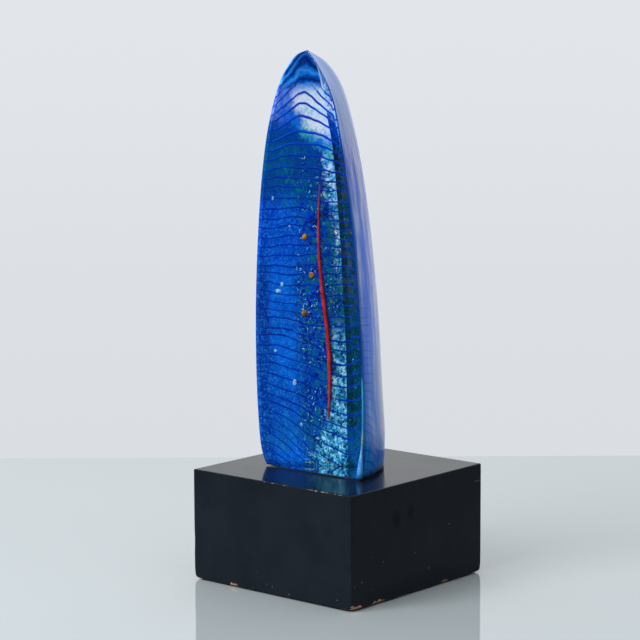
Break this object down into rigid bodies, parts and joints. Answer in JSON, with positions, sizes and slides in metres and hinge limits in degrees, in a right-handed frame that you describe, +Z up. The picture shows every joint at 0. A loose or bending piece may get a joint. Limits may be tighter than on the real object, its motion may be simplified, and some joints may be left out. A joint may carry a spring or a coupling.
{
  "type": "glass sculpture on plinth",
  "caption": "Tall cut-glass spire with a broad front face, a curved side and coloured back layers, standing loose on a square black mitred wooden plinth.",
  "frame": {"origin": "middle of the plinth's foot, on the surface it stands on", "axes": "+Z up along the spire; -Y is the front, which the glass's broad face looks along; +X is the right"},
  "size_m": [0.15, 0.15, 0.3862],
  "materials": {
    "black_paint": "satin black paint over wood, chipped at the edges",
    "raw_wood": "bare sawn",
    "screw_steel": "zinc plated",
    "felt": "felt",
    "clear_glass": "polished",
    "blue_glass": "polished, cobalt to turquoise with dark threads",
    "side_glass": "silky, faint upright streaks",
    "red_glass": "smooth",
    "amber_glass": "smooth",
    "bumper": "clear, soft"
  },
  "bodies": {
    "plinth": {"plinth_top_board": "black_paint", "plinth_front_board": "black_paint", "plinth_right_board": "black_paint", "plinth_back_board": "black_paint", "plinth_left_board": "black_paint", "plinth_base_board": "raw_wood", "corner_block_front_left": "raw_wood", "corner_block_front_right": "raw_wood", "corner_block_back_right": "raw_wood", "corner_block_back_left": "raw_wood", "base_screw_front_left": "screw_steel", "base_screw_front_right": "screw_steel", "base_screw_back_right": "screw_steel", "base_screw_back_left": "screw_steel", "felt_pad_front_left": "felt", "felt_pad_front_right": "felt", "felt_pad_back_right": "felt", "felt_pad_back_left": "felt"},
    "glass": {"clear_core": "clear_glass", "left_back_colour_layer": "blue_glass", "right_side_colour_layer": "side_glass", "red_cane": "red_glass", "amber_drop_1": "amber_glass", "amber_drop_2": "amber_glass", "amber_drop_3": "amber_glass", "bumper_left": "bumper", "bumper_right": "bumper", "bumper_back": "bumper"}
  },
  "joints": [
    {"name": "glass_lift", "type": "slide", "parent": "plinth", "child": "glass", "axis": [0, 0, 1], "range_m": [0, 0.1]}
  ]
}
